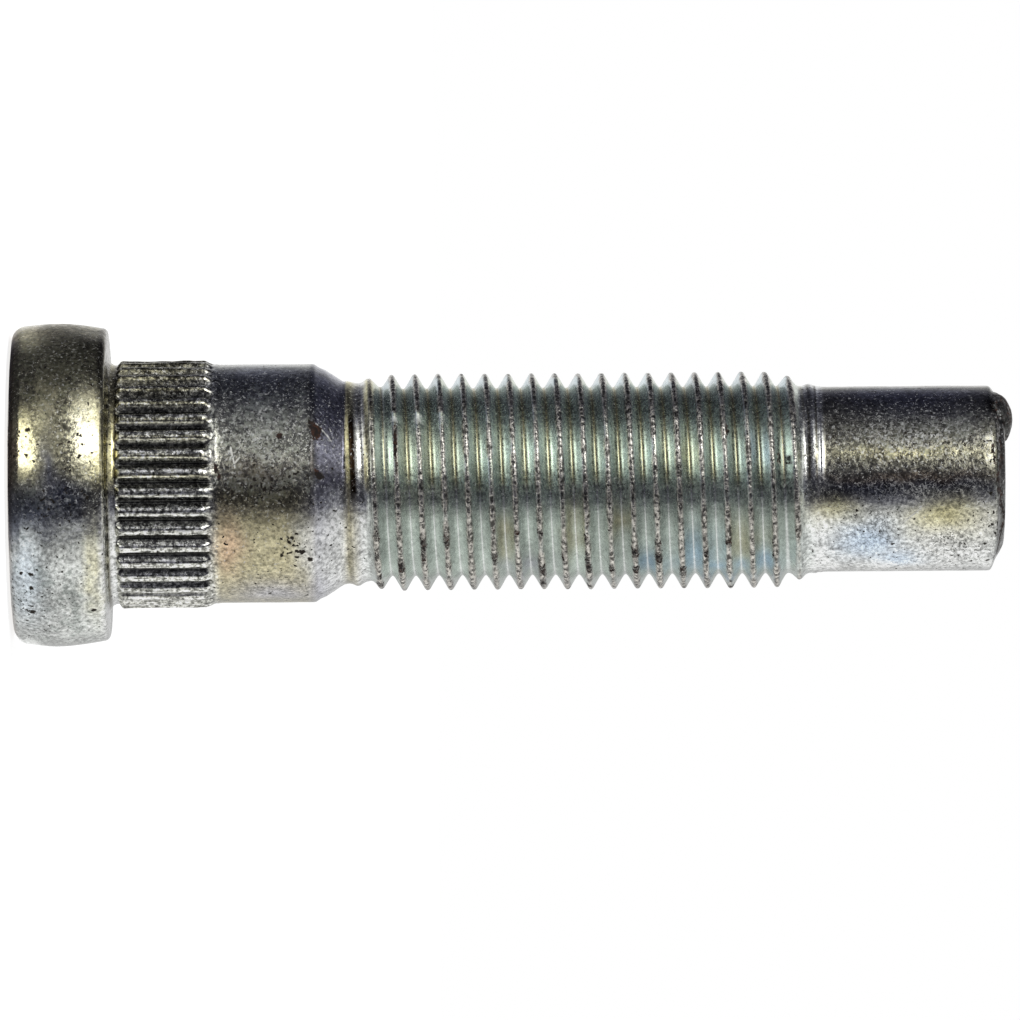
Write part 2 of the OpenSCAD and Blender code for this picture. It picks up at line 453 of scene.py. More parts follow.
def build_point(skin, angles, ring):
    """The plain point and the end that the cropping shear left."""
    near_thread = np.arange(THREAD_HIGH_Z + 0.07, RINGS_END_Z, 0.07)
    for z in np.concatenate([near_thread, np.linspace(RINGS_END_Z + 0.1, 62.3, 20)]):
        base = turned(angles, POINT_R, z)
        rolled = (RUN_OUT_R - POINT_R) * (1 - smooth(z, THREAD_HIGH_Z - 0.3, RINGS_END_Z))
        rolled += 0.02 * math.sin(2 * math.pi * z / 0.34) * (1 - smooth(z, RINGS_END_Z - 0.5, RINGS_END_Z))
        numbers = skin.add(turned(angles, POINT_R + rolled + relief(base), z))
        skin.strip(ring, numbers)
        ring = numbers
    for shift, radius, z in TIP_RINGS:
        points = turned(angles, radius, z)
        points[:, 0] -= shift
        stand = relief(points) + 0.06 * noise(points, 0.8, 41) * smooth(z, 62.8, 63.2)
        outward = smooth(radius, 3.0, 4.6)
        points[:, 0] += stand * np.cos(angles) * outward
        points[:, 1] += stand * np.sin(angles) * outward
        points[:, 2] += stand * (1 - outward)
        near_edge = smooth(z, 62.5, 62.8) * (1 - smooth(z, 63.0, 63.7))
        points[:, 2] += 0.22 * smooth(-points[:, 1], 1.0, 5.0) * near_edge
        # the seam where the sheared end meets the lobe takes the grooves' painted shade
        numbers = skin.add(swollen(points), groove=seam(points))
        skin.strip(ring, numbers)
        ring = numbers
    middle = np.array([[-TIP_SHIFT, 0.0, FACE_Z]])
    skin.cap(ring, swollen(middle)[0], outward_up=True)


def lobe_depth(points):
    """Distance from the lobe's middle as a share of its size: 1 on its surface, less inside it."""
    uneven = 1 + 0.05 * noise(points, 0.9, 43) + 0.03 * noise(points, 0.4, 44)
    size = np.array(LOBE_SIZE) * uneven[:, None]
    return np.linalg.norm((points - np.array(LOBE)) / size, axis=1)


def swollen(points):
    """Points of the sheared end, with those inside the lobe moved out to its surface."""
    depth = lobe_depth(points)[:, None]
    moved = np.array(LOBE) + (points - np.array(LOBE)) / np.maximum(depth, 0.2)
    return np.where(depth < 1, moved, points)


def seam(points):
    """1 where the sheared end meets the lobe."""
    return np.exp(-(((lobe_depth(points) - 1.0) / 0.05) ** 2))


def make_stud():
    """The whole stud as one closed mesh."""
    skin = Skin()
    head_angles, shank_angles = column_angles()
    ring = build_head(skin, head_angles)
    ring = build_shoulder(skin, shank_angles, ring)
    ring = build_thread(skin, shank_angles, ring)
    build_point(skin, shank_angles, ring)
    mesh = bpy.data.meshes.new("stud")
    corners = np.concatenate(skin.corners) * MM
    mesh.from_pydata(corners.tolist(), [], [tuple(int(n) for n in face) for face in skin.faces])
    mesh.polygons.foreach_set("use_smooth", [True] * len(mesh.polygons))
    colours = paint(np.concatenate(skin.corners), np.concatenate(skin.marks))
    for name, rows in colours.items():
        layer = mesh.attributes.new(name, "FLOAT_COLOR", "POINT")
        layer.data.foreach_set("color", np.column_stack([rows, np.ones(len(rows))]).ravel())
    mesh.update()
    stud = bpy.data.objects.new("stud", mesh)
    bpy.context.scene.collection.objects.link(stud)
    stud.data.materials.append(zinc_material())
    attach(stud, "root")
    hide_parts(NODE)
    return stud


# The finish

# Tints of the passivation; the darkest, and some cream and white bands where they are placed, are painted
# shade and painted highlights
GREY = (0.57, 0.58, 0.57)
ASH = (0.68, 0.70, 0.67)
OLIVE = (0.58, 0.55, 0.37)
IVORY = (0.78, 0.75, 0.56)
DIM = (0.55, 0.55, 0.46)
TAN = (0.47, 0.43, 0.28)
PEACH = (0.60, 0.43, 0.29)
CREAM = (0.80, 0.74, 0.42)
GREEN = (0.62, 0.68, 0.56)
TEAL = (0.60, 0.65, 0.61)
CYAN = (0.61, 0.71, 0.76)
GOLD = (0.72, 0.68, 0.48)
PALE = (0.45, 0.41, 0.21)
SKY = (0.60, 0.71, 0.84)
AZURE = (0.37, 0.49, 0.58)
VIOLET = (0.50, 0.50, 0.55)
WHITE = (0.78, 0.79, 0.77)
# dark grey: painted shade on the sheared end's face
END_SHADE = (0.16, 0.155, 0.15)
# dark blue: painted shade on the point's top side
TOP_SHADE = (0.26, 0.28, 0.42)
STEEL = (0.40, 0.43, 0.53)
SHADE = (0.16, 0.15, 0.11)
UMBER = (0.30, 0.22, 0.14)
SILVER = (0.66, 0.66, 0.60)
# dark slate: painted shade on the cone's upper side, where it dims a highlight
SLATE_SHADE = (0.21, 0.21, 0.26)
# near black: painted shade over the rounding from the shoulder to the cone, where it dims a highlight
DEEP_SHADE = (0.07, 0.065, 0.06)
# dark blue: painted shade in the dark band that faces the camera
BLUE_SHADE = (0.13, 0.14, 0.2)
KHAKI = (0.29, 0.28, 0.22)
# near black brown: painted shade in the crease under the teeth, and the colour of the band behind the
# thread's first crest
DARK_BROWN = (0.02, 0.012, 0.006)

# Tints against the height on the stud, on the picture's upper side and on its lower side. Besides the
# plate's own tints they hold painted light: the dark bands at the fillet under the head, in the creases at
# the teeth, at the rounding from shoulder to cone, on the cone's upper side and the thin lines at the
# thread's run-out are painted shade, and the cream and white bands at the fillet, at the neck and at the
# run-out are painted highlights.
UPPER_TINTS = (
    (0.0, UMBER), (0.3, UMBER), (0.7, OLIVE), (5.75, OLIVE), (5.95, SHADE), (6.5, SHADE), (6.57, CREAM),
    (6.84, CREAM), (6.91, DARK_BROWN), (6.97, DARK_BROWN), (7.05, SILVER), (13.0, SILVER), (13.5, DIM),
    (19.25, DIM), (19.42, DEEP_SHADE), (19.6, DEEP_SHADE), (19.85, SLATE_SHADE), (21.55, SLATE_SHADE), (21.63, CREAM),
    (21.9, CREAM), (22.35, WHITE), (22.75, WHITE), (22.85, CREAM), (23.2, CREAM), (23.5, GREEN),
    (50.5, GREEN), (50.95, WHITE), (51.12, WHITE), (51.2, SHADE), (51.3, SHADE), (51.4, WHITE),
    (51.6, WHITE), (51.68, SHADE), (51.75, SHADE), (51.82, WHITE), (52.05, WHITE), (52.25, KHAKI),
    (64.0, KHAKI),
)
LOWER_TINTS = (
    (0.0, UMBER), (0.15, UMBER), (0.5, ASH), (5.9, ASH), (6.0, WHITE), (6.3, WHITE), (6.36, SHADE),
    (6.46, SHADE), (6.54, WHITE), (6.9, WHITE), (7.0, SILVER), (13.0, SILVER), (13.6, TAN), (19.0, TAN),
    (19.8, VIOLET), (21.3, WHITE), (21.8, TAN), (22.6, WHITE), (23.5, TEAL), (50.5, TEAL),
    (51.8, WHITE), (64.0, WHITE),
)

# Patches of another tint: middle (height, degrees up from the front), length and width, tint and share.
# Some of them are painted light, as marked.
PATCHES = (
    # painted shade on the head's middle between its two highlights, and painted highlight colour, cream and
    # ivory, on the highlights
    (3.0, 19.0, 0.85, 5.2, SHADE, 0.72),
    (1.3, 14.0, 0.7, 2.4, CREAM, 1.0),
    (0.45, 14.0, 0.25, 3.0, UMBER, 0.9),
    (5.1, 19.0, 0.8, 2.4, IVORY, 1.0),
    # painted shade in the dark band that faces the camera
    (2.6, 5.0, 0.6, 1.8, BLUE_SHADE, 0.75),
    (3.0, 78.0, 4.0, 4.0, UMBER, 0.5),
    (5.9, 12.0, 0.5, 3.0, CREAM, 0.6),
    (2.2, 36.0, 2.6, 1.6, SHADE, 0.5),
    # painted shade in the dark band that faces the camera, in this row and the next two
    (3.4, -3.0, 1.0, 1.2, BLUE_SHADE, 1.0),
    (4.6, -7.0, 1.3, 0.9, BLUE_SHADE, 0.9),
    (2.0, -9.0, 1.2, 1.0, BLUE_SHADE, 0.8),
    # painted shade on the top side of the teeth
    (10.2, 68.0, 5.0, 5.0, SHADE, 0.95),
    (5.6, -30.0, 0.5, 4.0, CREAM, 0.6),
    (2.4, -60.0, 2.0, 2.6, WHITE, 0.5),
    (63.9, 65.0, 0.9, 3.0, SHADE, 0.5),
    (1.2, -35.0, 1.2, 4.0, SKY, 0.5),
    (14.1, -32.0, 0.8, 2.2, PEACH, 0.9),
    (19.0, -30.0, 0.7, 3.0, GREY, 0.7),
    (17.0, -68.0, 2.5, 1.6, VIOLET, 0.8),
    (20.5, -45.0, 0.9, 3.0, WHITE, 0.7),
    (52.9, -16.0, 1.6, 1.2, CREAM, 0.9),
    (59.8, -22.0, 2.6, 1.8, CREAM, 1.0),
    (57.2, -14.0, 2.0, 0.6, WHITE, 0.8),
    (55.0, -42.0, 2.0, 1.6, SKY, 1.0),
    (57.2, -58.0, 1.4, 0.9, SKY, 1.0),
    (60.2, -52.0, 2.2, 1.6, WHITE, 0.9),
    (57.5, 16.0, 5.0, 0.4, CREAM, 0.5),
    (61.2, 40.0, 0.7, 1.6, SILVER, 0.6),
    (60.4, 24.0, 0.4, 0.7, SHADE, 0.7),
    # painted shade on the point's top side
    (57.5, 62.0, 6.0, 2.0, TOP_SHADE, 0.8),
    (16.5, 62.0, 4.0, 3.5, STEEL, 0.8),
    # painted shade in the dark band that faces the camera, in this row and the next
    (54.5, -4.0, 3.4, 0.9, BLUE_SHADE, 0.9),
    (60.0, -3.0, 3.0, 0.7, BLUE_SHADE, 0.8),
    (26.0, 16.0, 2.6, 2.6, OLIVE, 0.5),
    (16.0, 5.0, 2.4, 0.8, UMBER, 0.6),
    (57.5, 1.0, 5.0, 0.35, UMBER, 0.7),
    (31.5, -38.0, 0.5, 1.8, TAN, 0.8),
    (35.9, -30.0, 0.5, 2.4, TAN, 0.8),
    (38.9, -22.0, 0.5, 1.4, TAN, 0.7),
    (33.0, -62.0, 1.2, 0.8, VIOLET, 0.7),
    (41.3, -60.0, 0.9, 1.4, AZURE, 0.9),
    (44.3, -50.0, 0.9, 2.0, AZURE, 0.8),
    (47.3, -42.0, 0.7, 2.4, TAN, 0.6),
    (48.8, -58.0, 0.9, 1.3, AZURE, 0.9),
    (45.8, -66.0, 2.4, 0.7, AZURE, 0.9),
    (43.0, 14.0, 0.8, 1.4, CREAM, 0.5),
    (47.5, 20.0, 0.8, 1.2, SKY, 0.5),
)

# Dull places, where the plate is rough and dark: middle (height, degrees up from the front), length and
# width, and amount
DULL_PATCHES = (
    (3.0, 60.0, 4.0, 5.5, 0.7),
    (64.0, 65.0, 0.8, 3.0, 1.0),
    (3.0, -6.0, 1.6, 1.2, 0.7),
    (4.3, -52.0, 0.6, 4.0, 0.65),
    (2.2, -36.0, 0.8, 1.6, 0.45),
    (3.0, -55.0, 4.0, 5.5, 0.2),
    (16.5, 28.0, 3.2, 4.5, 0.5),
    (16.5, 2.0, 3.2, 1.6, 0.6),
    (61.0, 32.0, 1.6, 1.6, 0.6),
    (58.0, 30.0, 5.0, 1.8, 0.5),
    (63.5, 0.0, 0.35, 9.0, 0.8),
)

# Places with pale, rough flecks, with nicks, with fine pale lines and with fine dark lines: middle (height,
# degrees up from the front), length and width, and amount
FLECKED = (
    (3.0, 50.0, 3.5, 4.5, 0.35),
    (3.3, 26.0, 1.0, 2.6, 0.3),
    (3.4, -4.0, 2.0, 1.5, 0.55),
    (10.2, 66.0, 5.0, 5.0, 0.6),
    (16.5, 24.0, 4.0, 4.5, 0.75),
    (63.5, 0.0, 0.5, 12.0, 0.6),
    (16.5, -2.0, 4.0, 1.2, 0.3),
    (58.0, 28.0, 6.0, 2.5, 0.8),
    (63.0, 18.0, 0.15, 2.0, 1.2),
)
NICKED = (
    (24.75, 36.0, 0.2, 0.35, 2.6),
    (26.25, 36.0, 0.28, 0.45, 2.8),
    (27.75, 36.5, 0.2, 0.35, 2.6),
    (14.4, 15.0, 0.08, 0.5, 2.2),
    (14.55, 11.0, 0.08, 0.5, 2.4),
    (14.85, 10.5, 0.09, 0.35, 2.2),
)
SCRIBBLED = (
    (57.5, -5.0, 6.0, 1.0, 0.8),
    (57.5, 25.0, 6.0, 2.0, 0.7),
    (16.5, 16.0, 2.4, 2.4, 0.4),
    (3.4, -5.0, 2.0, 1.4, 0.4),
)
SCORED = (
    (60.5, -46.0, 3.0, 3.0, 1.0),
    (55.5, -30.0, 3.0, 2.4, 0.8),
    (57.5, 12.0, 5.0, 1.2, 0.6),
    (20.5, 30.0, 0.8, 2.5, 0.8),
    (2.0, -50.0, 2.5, 4.0, 0.35),
    (17.0, -62.0, 3.0, 1.4, 0.6),
)

# Rust, and the rust on the crests, which the noise that bends the other patches doesn't move
RUST_PATCHES = (
    (17.54, 22.8, 0.3, 0.34, 1.0),
    (19.55, 27.0, 0.36, 0.62, 1.15),
    (19.85, 19.0, 0.2, 0.6, 0.8),
    (19.95, 3.4, 0.3, 0.3, 1.1),
    (13.45, 5.0, 0.15, 1.2, 0.7),
    (63.05, 14.0, 0.1, 1.2, 0.62),
    (64.0, 66.0, 0.5, 2.4, 0.62),
    (63.45, -5.0, 0.16, 9.0, 0.74),
)

CREST_RUST = (
    (24.81, 22.0, 0.13, 1.5, 1.0),
    (24.9, 8.0, 0.12, 0.6, 0.8),
    (46.0, 28.0, 0.15, 0.5, 0.9),
    (49.3, 12.0, 0.15, 0.6, 0.9),
)

# Places with many small pits
PITTED = (
    (1.6, -48.0, 1.2, 3.0, 0.5),
    (5.2, 24.0, 0.9, 1.6, 0.5),
    (4.6, 8.0, 1.2, 1.0, 0.7),
    (1.0, 22.0, 0.9, 1.4, 0.6),
    (3.4, -6.0, 2.0, 1.6, 0.8),
    (18.2, -33.0, 1.0, 1.2, 1.3),
    (16.5, 0.0, 3.0, 1.6, 1.1),
    (19.4, 27.0, 0.5, 1.2, 0.9),
    (63.4, 0.0, 0.5, 12.0, 0.9),
    (62.6, -38.0, 0.5, 2.6, 0.55),
    (62.9, 15.0, 0.4, 2.5, 1.3),
    (58.5, 22.0, 4.0, 1.5, 0.5),
)

# Single pits: place (radius, height, degrees up from the front) and width
PITS = (
    (10.3, 1.0, -33.3, 0.3), (10.3, 1.58, -33.3, 0.34), (10.3, 1.58, -39.5, 0.36),
    (10.3, 1.58, -48.5, 0.3), (10.3, 1.6, -51.8, 0.44), (10.3, 1.19, -57.4, 0.3),
    (10.2, 5.51, -52.1, 0.4), (10.3, 2.6, -40.0, 0.2), (10.3, 4.7, 18.0, 0.24),
    (10.3, 4.95, 14.2, 0.26), (10.3, 4.1, 15.0, 0.3), (10.3, 5.1, 10.5, 0.22), (10.3, 1.5, 20.0, 0.36),
    (10.3, 0.95, 19.2, 0.3), (10.3, 1.4, 10.6, 0.34), (10.3, 0.8, 11.0, 0.28), (7.4, 20.0, 3.4, 0.62),
    (7.48, 19.83, 4.6, 0.5), (7.66, 18.16, -27.0, 0.3), (7.66, 18.8, -35.0, 0.4),
    (7.65, 19.5, 28.0, 0.5), (7.58, 19.66, 24.6, 0.44), (7.66, 19.35, 30.5, 0.34),
    (7.66, 17.55, 23.6, 0.26), (7.66, 17.5, -36.6, 0.34), (7.66, 18.5, -38.0, 0.3),
    (7.66, 19.3, -39.4, 0.4), (7.66, 16.7, -67.0, 0.3), (5.95, 62.7, -62.0, 0.34),
    (5.95, 62.5, -45.0, 0.3), (5.95, 62.9, -30.0, 0.3), (5.95, 54.3, -20.0, 0.24),
)

# Scratches: both ends, each (radius, height, degrees up from the front)
SCRATCHES = (
    ((7.67, 14.33, 17.5), (7.67, 14.6, 7.5)),
    ((7.67, 14.5, 9.0), (7.67, 14.9, 12.5)),
    ((5.97, 59.6, -40.0), (5.97, 60.6, -52.0)),
    ((5.97, 58.4, -44.0), (5.97, 59.5, -54.0)),
    ((5.97, 57.0, -30.0), (5.97, 58.2, -20.0)),
    ((7.2, 20.0, 36.0), (7.0, 20.7, 28.0)),
    ((7.5, 19.8, 30.0), (7.0, 20.8, 22.0)),
    ((10.4, 4.2, -20.0), (10.4, 4.0, -52.0)),
)


# Height of the near black brown band on the slope behind the first, faint crest, on the front
DARK_BAND_Z = 22.13

# Heights between which the thread's own finish begins, and between which it ends
THREAD_FINISH = ((22.8, 23.6), (50.0, 51.0))

# Colours of what is worn into the plate or lies on it, and the grooves' painted shade, some of them
# multiplied with what is there
DULL_SHADE = (0.55, 0.57, 0.56, 1.0)
FLECK = (0.78, 0.79, 0.78, 1.0)
GROOVE_SHADE = (0.012, 0.012, 0.015, 1.0)
CREST_SHADE = (1.0, 0.96, 0.87, 1.0)
SCRATCH = (0.85, 0.85, 0.8, 1.0)
SCORE_SHADE = (0.25, 0.25, 0.25, 1.0)
PIT = (0.035, 0.03, 0.025, 1.0)
RUST_DARK = (0.008, 0.005, 0.004, 1.0)
RUST_PALE = (0.055, 0.02, 0.01, 1.0)

# Roughness of the plate's smooth and rough grain, how much rougher the thread is, and that of the wear
PLATE_ROUGH = (0.1, 0.27)
THREAD_ROUGHER = 0.08
DULL_ROUGH = 0.32
SCRATCH_ROUGH = 0.55
FLECK_ROUGH = 0.38
PIT_ROUGH = 0.55
RUST_ROUGH = 0.7

# How metallic rust is, and how much of that change a fleck has
RUST_METAL = 0.3
FLECK_SHARE = 0.6


def up_from_front(points):
    """Degrees from the front towards the picture's top, from -180 to 180."""
    turn = np.degrees(np.arctan2(points[:, 1], points[:, 0]))
    return (FRONT - turn + 180) % 360 - 180


def patch_share(points, height, up, length, width):
    """1 in the middle of a patch, fading out over its length along the stud and its width round it."""
    turn = (up_from_front(points) - up + 180) % 360 - 180
    across = np.hypot(points[:, 0], points[:, 1]) * np.radians(turn)
    return np.exp(-(((points[:, 2] - height) / length) ** 2) - (across / width) ** 2)


def amounts(points, patches):
    total = np.zeros(len(points))
    for height, up, length, width, amount in patches:
        total = np.maximum(total, amount * patch_share(points, height, up, length, width))
    return total


def blend(first, second, share):
    return first + (np.asarray(second) - first) * np.clip(share, 0, 1)[:, None]


def paint(points, marks):
    """Colours of the mesh's corners: tint, with painted shade and painted highlights in places; wear as
    dull, rust and pits; form as crest, groove and knurl, the groove carrying painted shade; and marks as
    flecks, fine lines and thread.
    """
    crest, root, groove, knurl, rise, side = marks.T
    wide_drift = np.column_stack([noise(points, 1.3, seed) for seed in (51, 52, 53)])
    fine_drift = np.column_stack([noise(points, 0.45, seed) for seed in (54, 55, 56)])
    moved = points + 0.35 * wide_drift + 0.12 * fine_drift
    distance = np.hypot(moved[:, 0], moved[:, 1])
    back = smooth(moved[:, 1] / distance, -0.2, 0.4)
    upper = smooth(-moved[:, 0] / distance, -0.14 - 0.6 * back, 0.04 + 0.6 * back)
    sides = []
    for stops in (LOWER_TINTS, UPPER_TINTS):
        heights, tints = zip(*stops)
        channels = [np.interp(points[:, 2], heights, channel) for channel in zip(*tints)]
        sides.append(np.column_stack(channels))
    tint = blend(sides[0], sides[1], upper)
    for height, up, length, width, colour, share in PATCHES:
        tint = blend(tint, colour, share * patch_share(moved, height, up, length, width))
    on_thread = smooth(points[:, 2], *THREAD_FINISH[0]) * (1 - smooth(points[:, 2], *THREAD_FINISH[1]))
    # Painted highlights and painted reflection colours on the thread: on the picture's upper side the
    # flanks that face the head are tinted cyan, and the root lines are gold on one side of each crest and
    # darker yellow on the other; on the lower side the root lines are paler
    tint = blend(tint, CYAN, 0.9 * on_thread * (side < 0) * upper)
    tint = blend(tint, GOLD, root * (side >= 0) * upper)
    tint = blend(tint, WHITE, 0.5 * root * (1 - upper))
    tint = blend(tint, PALE, root * (side < 0) * upper)
    # Painted highlight: on the picture's upper side one flank of each tooth is tinted cream
    tint = blend(tint, CREAM, 0.5 * knurl * rise * (side > 0) * upper)
    # Painted shade: the sheared end's face is painted dark grey
    on_end = smooth(points[:, 2], 63.15, 63.35) * (np.hypot(points[:, 0], points[:, 1]) > 3.0)
    tint = blend(tint, END_SHADE, 0.85 * on_end)
    cloudy = 0.14 * noise(points, 2.6, 57) + 0.2 * noise(points, 0.8, 58) * (1 - 0.6 * on_thread)
    tint *= (1 + cloudy)[:, None]
    # A near black brown band on the slope behind the first, faint crest, on the front side
    up = up_from_front(points)
    behind_crest = points[:, 2] - (DARK_BAND_Z - PITCH * up / 360)
    dark_band = 1.25 * np.exp(-((behind_crest / 0.22) ** 4)) * smooth(up, -14, -2) * (1 - smooth(up, 34, 52))
    tint = blend(tint, DARK_BROWN, dark_band)
    worn_through = smooth(noise(points, 0.8, 61), 0.05, 0.4) * smooth(-up, 18, 32)
    holes = 0.56 * np.minimum(1.6 * crest, 1) * worn_through
    rust = np.maximum(amounts(moved, RUST_PATCHES), amounts(points, CREST_RUST))
    wear = np.column_stack([
        amounts(moved, DULL_PATCHES) + 0.12 - 0.12 * on_thread,
        np.maximum(rust, holes) + 0.2 * dark_band,
        amounts(moved, PITTED),
    ])
    nicked = amounts(points, NICKED)
    lapped = crest * (1 + 0.45 * noise(points, 1.1, 59)) * (1 - np.minimum(nicked, 1))
    form = np.column_stack([lapped, groove, knurl * (0.4 + 0.6 * rise)])
    scribbled = amounts(moved, SCRIBBLED) - amounts(moved, SCORED)
    fine = np.column_stack([amounts(moved, FLECKED) + nicked + 0.1, scribbled, on_thread])
    return {"tint": tint, "wear": wear, "form": form, "marks": fine}


class Nodes:
    """Makes the nodes of one material or world. An input is a value, or the socket that feeds it."""

    def __init__(self, owner):
        owner.use_nodes = True
        self.tree = owner.node_tree
        self.place = None

    def add(self, kind, inputs=None, **settings):
        made = self.tree.nodes.new(kind)
        for name, value in settings.items():
            setattr(made, name, value)
        for name, value in (inputs or {}).items():
            self.feed(made.inputs[name], value)
        return made

    def feed(self, socket, value):
        if isinstance(value, bpy.types.NodeSocket):
            self.tree.links.new(value, socket)
        else:
            socket.default_value = value

    def maths(self, operation, *values):
        return self.add("ShaderNodeMath", dict(enumerate(values)), operation=operation).outputs[0]

    def vector(self, operation, *values, result="Vector"):
        made = self.add("ShaderNodeVectorMath", dict(enumerate(values)), operation=operation)
        return made.outputs[result]

    def scaled(self, value, scale):
        made = self.add("ShaderNodeVectorMath", {0: value, "Scale": scale}, operation="SCALE")
        return made.outputs["Vector"]

    def grain(self, size, detail=2.0, rough=0.55, place=None, result="Fac"):
        """Noise with cells of a size in millimetres."""
        inputs = {"Scale": 1 / (size * MM), "Detail": detail, "Roughness": rough}
        inputs["Vector"] = place or self.place
        return self.add("ShaderNodeTexNoise", inputs).outputs[result]

    def mapped(self, value, low, high, to_low=0.0, to_high=1.0):
        inputs = {"Value": value, "From Min": low, "From Max": high, "To Min": to_low, "To Max": to_high}
        return self.add("ShaderNodeMapRange", inputs).outputs["Result"]

    def spots(self, amount, weight, grain, low, high):
        """1 where a painted amount and a grain together pass a level, and 0 where they don't."""
        return self.mapped(self.maths("MULTIPLY_ADD", amount, weight, grain), low, high)

    def mix(self, first, second, share=1.0, blend="MIX"):
        inputs = {0: share, 6: first, 7: second}
        return self.add("ShaderNodeMix", inputs, data_type="RGBA", blend_type=blend).outputs[2]

    def grey(self, value):
        return self.add("ShaderNodeCombineColor", {0: value, 1: value, 2: value}).outputs[0]

    def channels(self, name):
        colour = self.add("ShaderNodeAttribute", attribute_name=name).outputs["Color"]
        return self.add("ShaderNodeSeparateColor", {"Color": colour}).outputs


def single_pits(nodes, place):
    """1 inside the single pits and 0 outside them."""
    nearest = None
    for radius, height, up, size in PITS:
        centre = tuple(on_surface(radius, height, up) * MM)
        distance = nodes.vector("DISTANCE", place, centre, result="Value")
        share = nodes.maths("MULTIPLY", distance, 2 / (size * MM))
        nearest = share if nearest is None else nodes.maths("MINIMUM", nearest, share)
    return nodes.mapped(nearest, 0.7, 1.1, 1.0, 0.0)


def scratch_lines(nodes, place):
    """1 on the scratches and 0 off them."""
    nearest = None
    for start, end in SCRATCHES:
        first = Vector(on_surface(*start) * MM)
        run = Vector(on_surface(*end) * MM) - first
        from_first = nodes.vector("SUBTRACT", place, tuple(first))
        along = nodes.vector("DOT_PRODUCT", from_first, tuple(run / run.length_squared), result="Value")
        along = nodes.mapped(along, 0.0, 1.0)
        distance = nodes.vector("DISTANCE", from_first, nodes.scaled(tuple(run), along), result="Value")
        nearest = distance if nearest is None else nodes.maths("MINIMUM", nearest, distance)
    return nodes.mapped(nearest, 0.03 * MM, 0.07 * MM, 1.0, 0.0)


